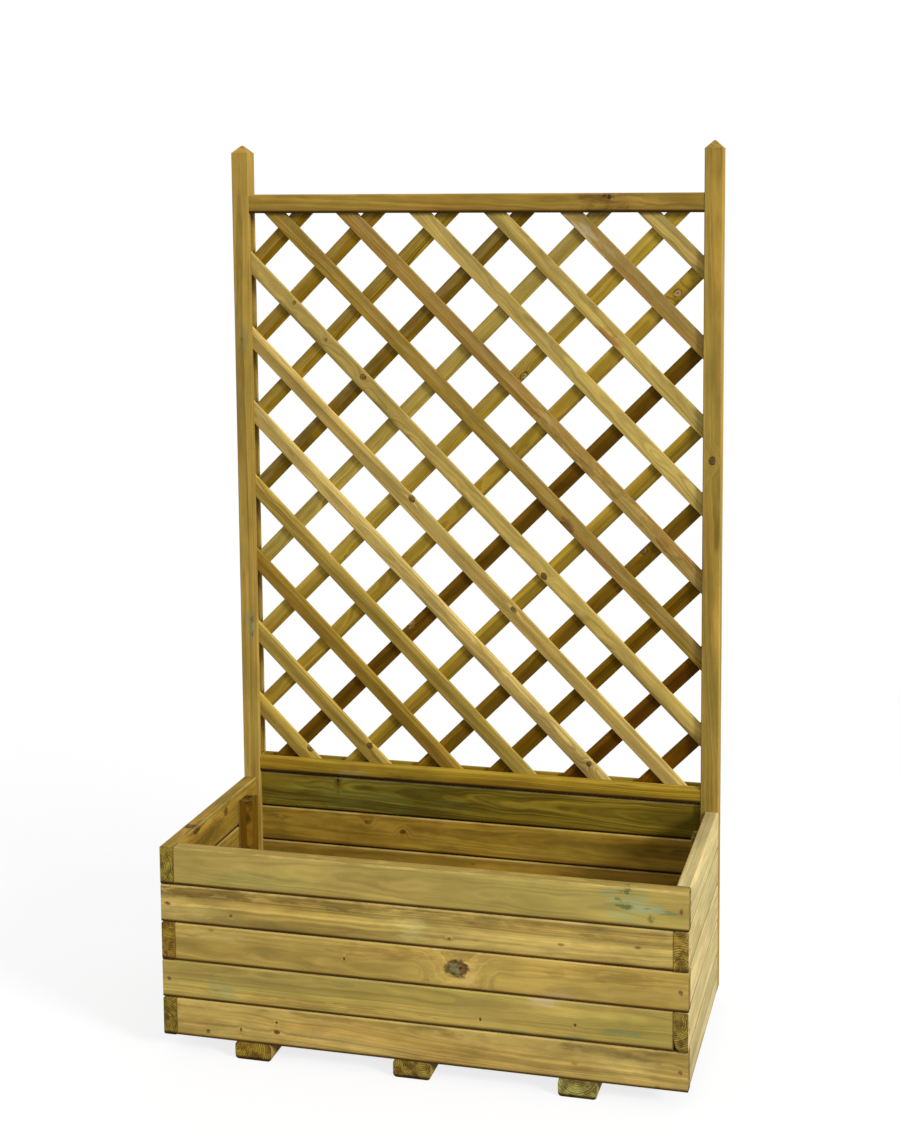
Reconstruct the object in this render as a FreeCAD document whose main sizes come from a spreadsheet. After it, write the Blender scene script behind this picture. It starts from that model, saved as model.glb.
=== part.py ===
import FreeCAD, Part
import os

# Timber planter box on three bearers, with two grooved posts and a framed diagonal
# lattice at its back. Every size is in millimetres.
# Frame: X to the right, the front of the box towards -Y, Z up from the ground,
# X = 0 and Y = 0 in the middle of the box.

os.makedirs("parts", exist_ok=True)
doc = FreeCAD.newDocument("Planter")

# ---------------------------------------------------------------- driving dimensions
dimensions = [
    ("boxWidth", 950, "outer width of the box, over both side walls"),
    ("boxDepth", 420, "from the front face of the box to the back of the posts"),
    ("boardThick", 25, "thickness of every wall board"),
    ("boardFace", 69.2, "height of one wall board"),
    ("courseGap", 0.8, "joint between two courses of boards"),
    ("courseCount", 5, "courses of boards in each wall"),
    ("boardArris", 3, "rounding along the edges of a wall board"),
    ("backLift", 9, "how far the back boards stand above the courses of the other walls"),
    ("bearerWidth", 68, "width of a bearer under the box"),
    ("bearerThick", 32, "height of a bearer"),
    ("bearerArris", 7, "rounding along a bearer"),
    ("bearerSetback", 2, "how far a bearer's ends stay inside the box"),
    ("bearerInset", 180, "from the side of the box to the centre of an outer bearer"),
    ("bearerShift", -10, "middle bearer off the middle of the box"),
    ("bearerCount", 3, "bearers under the box"),
    ("floorThick", 15, "thickness of a floor board"),
    ("floorGap", 8, "drainage gap between floor boards"),
    ("floorEndGap", 2, "gap from a floor board's end to the side wall"),
    ("floorCount", 4, "floor boards"),
    ("floorArris", 1.5, "rounding along a floor board"),
    ("battenWidth", 24, "corner batten, measured along the front wall"),
    ("battenDepth", 40, "corner batten, measured along the side wall"),
    ("thinBatten", 14, "the same at the rear right corner, a thinner batten"),
    ("battenDrop", 19, "top of a corner batten below the rim of the box"),
    ("battenOffset", 50, "from a rear batten to the post behind it"),
    ("battenArris", 1.5, "rounding along a batten"),
    ("postSide", 34, "side of a square post"),
    ("postHeight", 1585, "from the underside of the box to a post's shoulder"),
    ("postTip", 14, "height of the pyramid on a post"),
    ("tipFlat", 3, "flat left on top of the pyramid"),
    ("tipLedge", 0.8, "ledge round the foot of the pyramid"),
    ("postArris", 2.5, "rounding along a post"),
    ("railHeight", 36, "height of the upper lattice rail"),
    ("lowRailHeight", 31, "height of the lower lattice rail"),
    ("railThick", 31, "thickness of both lattice rails, centred on the posts"),
    ("railArris", 2, "rounding along a rail"),
    ("railBevel", 6, "sloped front edge on top of the lower rail"),
    ("railLift", 14, "from the rim of the box to the lower rail"),
    ("railDrop", 80, "from a post's shoulder down to the upper rail"),
    ("grooveDepth", 10, "depth of the groove that holds the lath ends"),
    ("grooveFit", 0.2, "play in front of and behind the laths in the groove"),
    ("lathWidth", 30, "width of a lattice lath"),
    ("lathThick", 8, "thickness of a lattice lath"),
    ("lathArris", 1, "rounding along a lath"),
    ("lathSpaces", 13.4, "lath pitches in the width and height of the frame together"),
    ("lathAngle", 45, "slope of the laths, in degrees"),
    ("lathEndGap", 0.5, "from a lath's end to the bottom of the groove"),
    ("nailHead", 6, "diameter of a nail head"),
    ("nailHeadThick", 1.2, "thickness of a nail head"),
    ("nailShank", 3, "diameter of a nail's shank"),
    ("nailLength", 55, "length of a nail"),
    ("nailFit", 0.1, "play between a nail and the wood around it"),
    ("nailSink", 0.4, "how far a nail head lies below the surface"),
]

sheet = doc.addObject("Spreadsheet::Sheet", "dims")
for row, (alias, value, note) in enumerate(dimensions, start=1):
    sheet.set("A%d" % row, alias)
    sheet.set("B%d" % row, str(value))
    sheet.set("C%d" % row, note)
    sheet.setAlias("B%d" % row, alias)
doc.recompute()
size = {alias: float(sheet.get(alias)) for alias, value, note in dimensions}
courseCount = int(size["courseCount"])

# places that several pieces share, written with the names of the sheet
pitch = "(dims.boardFace + dims.courseGap)"
left = "(-dims.boxWidth / 2)"
right = "(dims.boxWidth / 2)"
front = "(-dims.boxDepth / 2)"
back = "(dims.boxDepth / 2)"
postFront = "(dims.boxDepth / 2 - dims.postSide)"
latticePlane = "(dims.boxDepth / 2 - dims.postSide / 2)"
innerWidth = "(dims.boxWidth - 2 * dims.postSide)"
boxHeight = "(dims.courseCount * %s - dims.courseGap)" % pitch
rim = "(dims.bearerThick + %s)" % boxHeight
floorTop = "(dims.bearerThick + dims.floorThick)"
shoulder = "(dims.bearerThick + dims.postHeight)"
lowerRailTop = "(%s + dims.railLift + dims.lowRailHeight)" % rim
upperRailFoot = "(%s - dims.railDrop - dims.railHeight)" % shoulder
panelMiddle = "((%s + %s) / 2)" % (lowerRailTop, upperRailFoot)
grooveWidth = "(2 * dims.lathThick + 2 * dims.grooveFit)"

axes = {
    "X": FreeCAD.Vector(1, 0, 0),
    "Y": FreeCAD.Vector(0, 1, 0),
    "Z": FreeCAD.Vector(0, 0, 1),
}
parts = []


def place(thing, x, y, z):
    """Bind the position of a feature or body to the sheet."""
    for letter, formula in (("x", x), ("y", y), ("z", z)):
        thing.setExpression("Placement.Base.%s" % letter, str(formula))


def edgesAlong(shape, axis):
    """Names of the straight edges of a blank that run along one axis."""
    names = []
    for number, edge in enumerate(shape.Edges, start=1):
        run = edge.Vertexes[-1].Point - edge.Vertexes[0].Point
        if run.cross(axes[axis]).Length < 1e-6 * run.Length:
            names.append("Edge%d" % number)
    return names


def board(label, length, depth, height, at, along, arris):
    """A sawn piece of timber: a box with its four long edges rounded."""
    body = doc.addObject("PartDesign::Body", label)
    body.Label = label
    place(body, *at)
    blank = body.newObject("PartDesign::AdditiveBox", label + "_blank")
    blank.setExpression("Length", length)
    blank.setExpression("Width", depth)
    blank.setExpression("Height", height)
    doc.recompute()
    rounded = body.newObject("PartDesign::Fillet", label + "_arris")
    rounded.Base = (blank, edgesAlong(blank.Shape, along))
    rounded.setExpression("Radius", "dims." + arris)
    parts.append(body)
    return body


def subtractBox(body, name, length, depth, height, at):
    """A straight groove or trench in a body, in the body's own coordinates."""
    tool = body.newObject("PartDesign::SubtractiveBox", name)
    tool.setExpression("Length", length)
    tool.setExpression("Width", depth)
    tool.setExpression("Height", height)
    place(tool, *at)
    return tool


def drill(body, name, diameter, depth, at, turn):
    """A round hole in a body, from a point and along a turned Z axis."""
    tool = body.newObject("PartDesign::SubtractiveCylinder", name)
    tool.setExpression("Radius", "(%s) / 2" % diameter)
    tool.setExpression("Height", depth)
    tool.Placement.Rotation = turn
    place(tool, *at)
    return tool


# ------------------------------------------------------------------------- wall boards
# The corners are lapped like bricks: in every odd course the left side board runs
# through to the front and the front board runs through to the right, and in every
# even course it is the other way round.
frontBoards = {}
sideBoards = {}
sideRun = "(dims.boxDepth - dims.postSide)"
for course in range(1, courseCount + 1):
    leftRuns = course % 2 == 1
    foot = "(dims.bearerThick + (dims.courseCount - %d) * %s)" % (course, pitch)
    frontBoards[course] = board(
        "front_board_%d" % course,
        "dims.boxWidth - dims.boardThick", "dims.boardThick", "dims.boardFace",
        (left + (" + dims.boardThick" if leftRuns else ""), front, foot),
        "X", "boardArris")
    for side, runs, x in (
            ("left", leftRuns, left),
            ("right", not leftRuns, right + " - dims.boardThick")):
        start = front if runs else front + " + dims.boardThick"
        reach = sideRun if runs else sideRun + " - dims.boardThick"
        sideBoards[side, course] = board(
            "%s_board_%d" % (side, course),
            "dims.boardThick", reach, "dims.boardFace",
            (x, start, foot), "Y", "boardArris")
    board(
        "back_board_%d" % course,
        innerWidth, "dims.boardThick", "dims.boardFace",
        (left + " + dims.postSide", back + " - dims.boardThick", foot + " + dims.backLift"),
        "X", "boardArris")

# ------------------------------------------------------------------- bearers and floor
bearerCount = int(size["bearerCount"])
bearerSpacing = "((dims.boxWidth - 2 * dims.bearerInset) / (dims.bearerCount - 1))"
for number in range(1, bearerCount + 1):
    step = "(%d - (dims.bearerCount + 1) / 2)" % number
    board(
        "bearer_%d" % number,
        "dims.bearerWidth", "dims.boxDepth - 2 * dims.bearerSetback", "dims.bearerThick",
        ("dims.bearerShift + %s * %s - dims.bearerWidth / 2" % (step, bearerSpacing),
         front + " + dims.bearerSetback", "0"),
        "Y", "bearerArris")

floorRun = "(dims.boxWidth - 2 * dims.boardThick - 2 * dims.floorEndGap)"
floorSpan = "(dims.boxDepth - dims.boardThick - dims.postSide - 2 * dims.floorEndGap)"
floorWidth = "((%s - (dims.floorCount - 1) * dims.floorGap) / dims.floorCount)" % floorSpan
floorPieces = []
for number in range(int(size["floorCount"])):
    blank = doc.addObject("Part::Box", "floor_blank_%d" % (number + 1))
    blank.setExpression("Length", floorRun)
    blank.setExpression("Width", floorWidth)
    blank.setExpression("Height", "dims.floorThick")
    place(
        blank,
        left + " + dims.boardThick + dims.floorEndGap",
        front + " + dims.boardThick + dims.floorEndGap + %d * (%s + dims.floorGap)"
        % (number, floorWidth),
        "dims.bearerThick")
    doc.recompute()
    rounded = doc.addObject("Part::Fillet", "floor_rounded_%d" % (number + 1))
    rounded.Base = blank
    rounded.Edges = [
        (int(name[4:]), size["floorArris"], size["floorArris"])
        for name in edgesAlong(blank.Shape, "X")]
    floorPieces.append(rounded)
floor = doc.addObject("Part::MultiFuse", "floor_boards")
floor.Shapes = floorPieces
floor.Label = "floor_boards"
parts.append(floor)

# --------------------------------------------------------------------- corner battens
# They stand on the floor inside the box and tie the courses of each wall together.
battenHeight = "(%s - dims.battenDrop - %s)" % (rim, floorTop)
innerLeft = left + " + dims.boardThick"
innerRight = right + " - dims.boardThick"
frontBattens = front + " + dims.boardThick"
rearBattens = postFront + " - dims.battenOffset - dims.battenDepth"
for corner, width, x, y in (
        ("front_left", "dims.battenWidth", innerLeft, frontBattens),
        ("front_right", "dims.battenWidth", innerRight + " - dims.battenWidth", frontBattens),
        ("rear_left", "dims.battenWidth", innerLeft, rearBattens),
        ("rear_right", "dims.thinBatten", innerRight + " - dims.thinBatten", rearBattens)):
    board(
        "corner_batten_" + corner,
        width, "dims.battenDepth", battenHeight,
        (x, y, floorTop), "Z", "battenArris")

# ------------------------------------------------------------------------------- posts
for side, x in (("left", left), ("right", right + " - dims.postSide")):
    post = board(
        side + "_post",
        "dims.postSide", "dims.postSide", "dims.postHeight",
        (x, postFront, "dims.bearerThick"), "Z", "postArris")
    grooveFloor = "dims.postSide - dims.grooveDepth" if side == "left" else "0"
    subtractBox(
        post, side + "_post_groove",
        "dims.grooveDepth", grooveWidth, "%s - %s" % (upperRailFoot, lowerRailTop),
        (grooveFloor, "(dims.postSide - %s) / 2" % grooveWidth,
         lowerRailTop + " - dims.bearerThick"))
    tip = post.newObject("PartDesign::AdditiveWedge", side + "_post_tip")
    # the wedge tapers along its own Y axis, which the turn points upwards
    tip.Placement.Rotation = FreeCAD.Rotation(axes["X"], 90)
    place(tip, "0", "0", "dims.postHeight")
    tip.setExpression("Ymin", "0")
    tip.setExpression("Ymax", "dims.postTip")
    tip.setExpression("Xmin", "dims.tipLedge")
    tip.setExpression("Xmax", "dims.postSide - dims.tipLedge")
    tip.setExpression("X2min", "(dims.postSide - dims.tipFlat) / 2")
    tip.setExpression("X2max", "(dims.postSide + dims.tipFlat) / 2")
    tip.setExpression("Zmin", "-(dims.postSide - dims.tipLedge)")
    tip.setExpression("Zmax", "-dims.tipLedge")
    tip.setExpression("Z2min", "-(dims.postSide + dims.tipFlat) / 2")
    tip.setExpression("Z2max", "-(dims.postSide - dims.tipFlat) / 2")

# ------------------------------------------------------------------------------- rails
railFront = "(%s - dims.railThick / 2)" % latticePlane
for name, height, z, grooveFoot in (
        ("top_rail", "dims.railHeight", upperRailFoot, "0"),
        ("bottom_rail", "dims.lowRailHeight", "(%s - dims.lowRailHeight)" % lowerRailTop,
         "dims.lowRailHeight - dims.grooveDepth")):
    rail = board(
        name, innerWidth, "dims.railThick", height,
        (left + " + dims.postSide", railFront, z), "X", "railArris")
    subtractBox(
        rail, name + "_groove",
        innerWidth, grooveWidth, "dims.grooveDepth",
        ("0", "(dims.railThick - %s) / 2" % grooveWidth, grooveFoot))
    if name == "bottom_rail":
        slope = rail.newObject("PartDesign::SubtractiveWedge", name + "_bevel")
        # a triangular prism laid along the front top edge
        slope.Placement.Rotation = FreeCAD.Rotation(axes["Y"], -axes["Z"], -axes["X"], "XYZ")
        place(slope, innerWidth, "0", height)
        slope.setExpression("Xmin", "0")
        slope.setExpression("Xmax", "dims.railBevel")
        slope.setExpression("Ymin", "0")
        slope.setExpression("Ymax", "dims.railBevel")
        slope.setExpression("Zmin", "0")
        slope.setExpression("Zmax", innerWidth)
        slope.setExpression("X2min", "0")
        slope.setExpression("X2max", "0")
        slope.setExpression("Z2min", "0")
        slope.setExpression("Z2max", innerWidth)

# ------------------------------------------------------------------------------- laths
# Two layers cross at the middle of the posts: the front layer falls to the right, the
# back layer falls to the left. Each lath is cut off inside the grooves of the frame.
panel = doc.addObject("Part::Box", "lattice_outline")
panel.setExpression("Length", "%s + 2 * (dims.grooveDepth - dims.lathEndGap)" % innerWidth)
panel.setExpression("Width", "4 * dims.lathThick")
panel.setExpression(
    "Height", "%s - %s + 2 * (dims.grooveDepth - dims.lathEndGap)" % (upperRailFoot, lowerRailTop))
place(
    panel,
    left + " + dims.postSide - dims.grooveDepth + dims.lathEndGap",
    latticePlane + " - 2 * dims.lathThick",
    lowerRailTop + " - dims.grooveDepth + dims.lathEndGap")
doc.recompute()

slant = "(dims.lathAngle * 1 deg)"
lathRun = "(%s + %s - %s)" % (innerWidth, upperRailFoot, lowerRailTop)
lathPitch = "(%s / dims.lathSpaces)" % lathRun
angle = size["lathAngle"]
# along the middle of the panel, a lath that passes a corner starts this far out
tilt = FreeCAD.Rotation(axes["Y"], angle).multVec(axes["X"])
farthest = panel.Length.Value / 2 + panel.Height.Value / 2 * tilt.x / abs(tilt.z)
hidden = 4 * (size["grooveDepth"] - size["lathEndGap"])
pitchNow = (panel.Length.Value + panel.Height.Value - hidden) / size["lathSpaces"]
sideCount = int(farthest / pitchNow)
for layer, fall, y in (
        ("front_lath", 1, latticePlane + " - dims.lathThick"),
        ("back_lath", -1, latticePlane)):
    for number, step in enumerate(range(-sideCount, sideCount + 1), start=1):
        label = "%s_%02d" % (layer, number)
        blank = doc.addObject("Part::Box", label + "_blank")
        blank.setExpression("Length", lathRun)
        blank.setExpression("Width", "dims.lathThick")
        blank.setExpression("Height", "dims.lathWidth")
        blank.Placement.Rotation = FreeCAD.Rotation(axes["Y"], fall * angle)
        place(
            blank,
            "%d * %s - %s / 2 * cos(%s) - %d * dims.lathWidth / 2 * sin(%s)"
            % (step, lathPitch, lathRun, slant, fall, slant),
            y,
            "%s + %d * %s / 2 * sin(%s) - dims.lathWidth / 2 * cos(%s)"
            % (panelMiddle, fall, lathRun, slant, slant))
        doc.recompute()
        rounded = doc.addObject("Part::Fillet", label + "_rounded")
        rounded.Base = blank
        longest = max(edge.Length for edge in blank.Shape.Edges)
        rounded.Edges = [
            (edgeNumber, size["lathArris"], size["lathArris"])
            for edgeNumber, edge in enumerate(blank.Shape.Edges, start=1)
            if edge.Length > longest - 1e-6]
        lath = doc.addObject("Part::Common", label)
        lath.Base = rounded
        lath.Tool = panel
        lath.Label = label
        parts.append(lath)

# ------------------------------------------------------------------------------- nails
# One nail at the lap of each course: on the front where the front board runs through,
# on the side where the side board does. The head lies in a shallow sinking.
holeAcross = "(dims.nailShank + 2 * dims.nailFit)"
sinkAcross = "(dims.nailHead + 2 * dims.nailFit)"
sinkDeep = "(dims.nailSink + dims.nailHeadThick)"
intoEnd = "(dims.nailLength - dims.boardThick + dims.nailFit)"
halfFace = "dims.boardFace / 2"
halfThick = "dims.boardThick / 2"
frontRun = "(dims.boxWidth - dims.boardThick)"
inward = FreeCAD.Rotation(axes["X"], -90)
rightward = FreeCAD.Rotation(axes["Y"], 90)
leftward = FreeCAD.Rotation(axes["Y"], -90)
nailPieces = []


def nail(name, through, throughAt, receiving, receivingAt, at, turn):
    """Nail one board through its face into the end of another.

    throughAt and receivingAt are in the boards' own coordinates, at is where the nail
    enters the face."""
    drill(through, name + "_sinking", sinkAcross, sinkDeep, throughAt, turn)
    drill(through, name + "_hole", holeAcross, "dims.boardThick", throughAt, turn)
    drill(receiving, name + "_end_hole", holeAcross, intoEnd, receivingAt, turn)
    along = turn.multVec(axes["Z"])
    for piece, across, start, run in (
            ("head", "dims.nailHead", "dims.nailSink", "dims.nailHeadThick"),
            ("shank", "dims.nailShank", "dims.nailSink", "dims.nailLength - dims.nailSink")):
        rod = doc.addObject("Part::Cylinder", "%s_%s" % (name, piece))
        rod.setExpression("Radius", across + " / 2")
        rod.setExpression("Height", run)
        rod.Placement.Rotation = turn
        place(rod, *["%s + %d * %s" % (where, round(way), start)
                     for where, way in zip(at, along)])
        nailPieces.append(rod)


for course in range(1, courseCount + 1):
    leftRuns = course % 2 == 1
    middle = "dims.bearerThick + (dims.courseCount - %d) * %s + %s" % (course, pitch, halfFace)
    lap = "right" if leftRuns else "left"
    lapX = frontRun + " - " + halfThick if leftRuns else halfThick
    nail(
        "nail_front_%d" % course,
        frontBoards[course], (lapX, "0", halfFace),
        sideBoards[lap, course], (halfThick, "0", halfFace),
        ("%s - %s" % (right, halfThick) if leftRuns else "%s + %s" % (left, halfThick),
         front, middle),
        inward)
    runner = "left" if leftRuns else "right"
    nail(
        "nail_side_%d" % course,
        sideBoards[runner, course], ("0" if leftRuns else "dims.boardThick", halfThick, halfFace),
        frontBoards[course], ("0" if leftRuns else frontRun, halfThick, halfFace),
        (left if leftRuns else right, "%s + %s" % (front, halfThick), middle),
        rightward if leftRuns else leftward)
nails = doc.addObject("Part::MultiFuse", "nails")
nails.Shapes = nailPieces
nails.Label = "nails"
parts.append(nails)

# ---------------------------------------------------------------------- check and write
doc.recompute()
for thing in doc.Objects:
    if "Invalid" in thing.State or "Error" in thing.State:
        raise RuntimeError("%s did not build: %s" % (thing.Name, thing.State))
for part in parts:
    shape = part.Shape
    if shape.isNull() or not shape.isValid() or not shape.Solids:
        raise RuntimeError("%s has no sound solid" % part.Label)

whole = FreeCAD.BoundBox()
for part in parts:
    part.Shape.exportStep("parts/%s.step" % part.Label)
    whole.add(part.Shape.BoundBox)
    print("%-26s %2d solid(s) %12.0f mm3" % (part.Label, len(part.Shape.Solids), part.Shape.Volume))
print("nodes", len(parts))
print("whole X %.1f..%.1f  Y %.1f..%.1f  Z %.1f..%.1f" % (
    whole.XMin, whole.XMax, whole.YMin, whole.YMax, whole.ZMin, whole.ZMax))
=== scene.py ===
import bmesh
import bpy
import math
import random
from mathutils import Euler, Matrix, Vector


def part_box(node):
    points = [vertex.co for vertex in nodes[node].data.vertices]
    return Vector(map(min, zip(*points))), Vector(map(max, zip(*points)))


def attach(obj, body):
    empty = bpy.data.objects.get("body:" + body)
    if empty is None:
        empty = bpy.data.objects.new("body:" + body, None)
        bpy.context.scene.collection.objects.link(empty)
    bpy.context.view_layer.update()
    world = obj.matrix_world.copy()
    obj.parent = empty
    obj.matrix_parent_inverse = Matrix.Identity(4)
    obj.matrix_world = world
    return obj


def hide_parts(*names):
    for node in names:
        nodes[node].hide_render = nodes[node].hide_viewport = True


# Timber planter with a lattice, pressure treated softwood. Metres, X to the right,
# front of the box towards -Y, Z up from the ground.

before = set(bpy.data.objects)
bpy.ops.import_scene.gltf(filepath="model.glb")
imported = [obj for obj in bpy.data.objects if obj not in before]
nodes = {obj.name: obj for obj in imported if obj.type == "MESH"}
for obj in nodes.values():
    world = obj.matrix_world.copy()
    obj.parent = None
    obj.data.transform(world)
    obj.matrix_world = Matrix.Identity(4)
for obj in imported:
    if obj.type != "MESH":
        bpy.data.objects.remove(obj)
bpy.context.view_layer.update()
print("frame loaded,", len(nodes), "nodes")


def put(tree, kind, inputs, **settings):
    node = tree.nodes.new(kind)
    for key, value in settings.items():
        setattr(node, key, value)
    for key, value in inputs.items():
        if isinstance(value, bpy.types.NodeSocket):
            tree.links.new(value, node.inputs[key])
        else:
            node.inputs[key].default_value = value
    return node


def maths(tree, operation, a, b=0.0):
    return put(tree, "ShaderNodeMath", {0: a, 1: b}, operation=operation).outputs[0]


def vectors(tree, operation, a, b=(0.0, 0.0, 0.0)):
    node = put(tree, "ShaderNodeVectorMath", {0: a, 1: b}, operation=operation)
    return node.outputs["Value"] if operation in ("LENGTH", "DOT_PRODUCT") else node.outputs["Vector"]


def times(tree, colour, light):
    return put(tree, "ShaderNodeVectorMath", {0: colour, "Scale": light}, operation="SCALE").outputs["Vector"]


def fade(tree, value, start, end, low=0.0, high=1.0):
    # smooth step from low at start to high at end
    ends = {"Value": value, "From Min": start, "From Max": end, "To Min": low, "To Max": high}
    return put(tree, "ShaderNodeMapRange", ends, interpolation_type="SMOOTHSTEP").outputs["Result"]


def cloud(tree, point, stretch, offset, detail=2.0, roughness=0.5):
    # soft noise from 0 to 1; stretch is how many lumps to a metre along each axis
    spot = vectors(tree, "ADD", vectors(tree, "MULTIPLY", point, stretch), (offset, offset * 0.7, -offset))
    noise = {"Vector": spot, "Scale": 1.0, "Detail": detail, "Roughness": roughness}
    return put(tree, "ShaderNodeTexNoise", noise).outputs[0]


def sway(tree, value, amount):
    # noise made into a light and dark factor round 1
    return fade(tree, value, 0.33, 0.67, 1.0 - amount, 1.0 + amount * 0.75)


def tint(tree, factor, under, over, mode="MIX"):
    node = put(tree, "ShaderNodeMix", {}, data_type="RGBA", blend_type=mode)
    for name, value in (("Factor_Float", factor), ("A_Color", under), ("B_Color", over)):
        socket = next(s for s in node.inputs if s.identifier == name)
        if isinstance(value, bpy.types.NodeSocket):
            tree.links.new(value, socket)
        else:
            socket.default_value = value
    return next(s for s in node.outputs if s.identifier == "Result_Color")


def paint(red, green, blue):
    # a colour as read from a paint card, 0 to 255, made linear
    card = [c / 255.0 for c in (red, green, blue)]
    line = [c / 12.92 if c <= 0.04045 else ((c + 0.055) / 1.055) ** 2.4 for c in card]
    return (line[0], line[1], line[2], 1.0)


def freshMaterial(name):
    material = bpy.data.materials.new(name)
    material.use_nodes = True
    material.node_tree.nodes.clear()
    return material, material.node_tree


def toSurface(tree, shader):
    output = put(tree, "ShaderNodeOutputMaterial", {})
    tree.links.new(shader.outputs[0], output.inputs["Surface"])


timberDefaults = {
    "tone": (168, 144, 78),       # the pale early wood
    "ringDark": 0.66,             # late wood against early wood
    "ringGap": 0.0042,            # metres between two year rings
    "ringShow": 0.60,             # how strongly the rings are seen on the long faces
    "heart": (0.040, 0.010),      # pith, off the middle of the section: thickness, width
    "lean": (0.010, 0.016),       # slant of the pith along the piece
    "drift": 0.016,               # slow wandering of the pith, metres
    "waver": 0.0030,              # quick wavering of the rings, metres
    "fibre": 0.17,                # fine streaks
    "streak": 0.22,               # broad streaks
    "mottle": 0.14,               # cloudy light and dark
    "bands": 0.30,                # brown bands that follow the rings
    "green": 0.30,                # green of the treatment
    "brown": 0.25,                # warm brown patches
    "pins": 0.70,                 # share of the pin knots left out
    "endTone": (128, 104, 44),
    "knots": (),                  # along, across, half length, half width
    "knotTones": ((116, 100, 58), (84, 62, 28)),
    "washes": (),                 # along, across, half length, half width, colour, strength
    "sawn": 0.0,                  # ripple of the saw
    "arrisHighlight": 0.30,                 # painted highlight along the upper arris
    "dirt": 0.64,                 # painted shade along the lower arris, which also sets how dark the joint line is
    "seam": 0.0070,               # height of the painted shade line in the joint
    "butted": 0.0,                # painted shade line where an end butts against a neighbour, minus for the lower x
    "inlays": (),                 # washes painted over the knots
    "gloss": 0.10,                # specular level
    "wild": 1.0,                  # times the wavering
}

# factors that darken or colour the timber; the last two are painted shade along the lower arris and in the
# joints
timberTints = {
    "band": (0.74, 0.66, 0.46, 1.0),
    "green": (0.84, 1.00, 0.86, 1.0),
    "brown": (0.86, 0.68, 0.44, 1.0),
    "pin": (0.36, 0.27, 0.17, 1.0),
    "knotHalo": (1.14, 1.03, 0.86, 1.0),
    "knotRings": (0.45, 0.36, 0.26, 1.0),
    "endPatch": (0.70, 1.08, 1.05, 1.0),
    "dirt": (0.56, 0.46, 0.30, 1.0),
    "seam": (0.20, 0.13, 0.05, 1.0),
}

knotPith = (62, 38, 18)
knotBark = (62, 42, 16)
# colour of the painted highlight along the upper arrises
highlightTone = (208, 188, 126)

turns = {
    "X": Euler((0.0, 0.0, 0.0)),
    "Y": Euler((0.0, 0.0, math.radians(-90))),
    "Z": Euler((0.0, math.radians(90), 0.0)),
    "falling": Euler((0.0, math.radians(-45), 0.0)),
    "rising": Euler((0.0, math.radians(45), 0.0)),
}


def grainSpace(tree, grainWay, middle):
    # x runs along the grain, y through the thickness, z across the width
    turn = turns[grainWay].to_matrix()
    coords = put(tree, "ShaderNodeTexCoord", {}).outputs
    place = {"Vector": coords["Object"], "Location": -(turn @ Vector(middle)), "Rotation": turns[grainWay]}
    grain = put(tree, "ShaderNodeMapping", place, vector_type="POINT").outputs[0]
    along = tuple(turn.inverted() @ Vector((1.0, 0.0, 0.0)))
    facing = maths(tree, "ABSOLUTE", vectors(tree, "DOT_PRODUCT", coords["Normal"], along))
    return grain, fade(tree, facing, 0.75, 0.93)


def knotField(tree, grain, knots, shift):
    # distance to the nearest knot, 1 at its edge, and how far the knots push the rings out
    rough = cloud(tree, grain, (80.0, 30.0, 90.0), shift + 7, 3.0, 0.6)
    rough = maths(tree, "SUBTRACT", rough, 0.5)
    nearest = 9.0
    push = 0.0
    for kx, kz, rx, rz in knots:
        away = vectors(tree, "SUBTRACT", grain, (kx, 0.0, kz))
        away = vectors(tree, "LENGTH", vectors(tree, "MULTIPLY", away, (1.0 / rx, 0.0, 1.0 / rz)))
        far = maths(tree, "ADD", away, rough)
        hill = min(rz, 0.011) * (1.3 if rz > 0.008 else 0.8)
        hill = maths(tree, "MULTIPLY", fade(tree, far, 0.6, 4.2, 1.0, 0.0), hill)
        push = maths(tree, "ADD", hill, push)
        nearest = maths(tree, "MINIMUM", far, nearest)
    return nearest, push


def yearRings(tree, grain, push, values, shift):
    # rings round a pith that drifts and wavers; gives the late wood, and a flow that follows the rings
    heartY, heartZ = values["heart"]
    leanY, leanZ = values["lean"]
    split = put(tree, "ShaderNodeSeparateXYZ", {0: grain}).outputs
    slow = maths(tree, "MULTIPLY", cloud(tree, grain, (3.2, 7.0, 7.0), shift, 1.0), values["drift"])
    quick = cloud(tree, grain, (15.0, 40.0, 40.0), shift + 9, 1.0)
    quick = maths(tree, "MULTIPLY", quick, values["waver"] * values["wild"])
    fromY = maths(tree, "ADD", split[1], maths(tree, "MULTIPLY", split[0], leanY))
    fromZ = maths(tree, "ADD", split[2], maths(tree, "MULTIPLY", split[0], leanZ))
    fromY = maths(tree, "SUBTRACT", maths(tree, "ADD", fromY, quick), heartY)
    fromZ = maths(tree, "SUBTRACT", maths(tree, "ADD", fromZ, slow), heartZ + values["drift"] / 2)
    reach = maths(tree, "ADD", maths(tree, "MULTIPLY", fromY, fromY), maths(tree, "MULTIPLY", fromZ, fromZ))
    reach = maths(tree, "ADD", maths(tree, "SQRT", reach), push)
    flow = put(tree, "ShaderNodeCombineXYZ", {0: reach, 1: split[0], 2: split[1]}).outputs[0]
    uneven = maths(tree, "MULTIPLY", cloud(tree, flow, (90.0, 0.0, 0.0), shift + 3, 2.0), 2.6)
    saw = maths(tree, "FRACT", maths(tree, "ADD", maths(tree, "DIVIDE", reach, values["ringGap"]), uneven))
    late = maths(tree, "MULTIPLY", fade(tree, saw, 0.28, 0.80), fade(tree, saw, 0.85, 1.0, 1.0, 0.0))
    return late, flow


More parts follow.
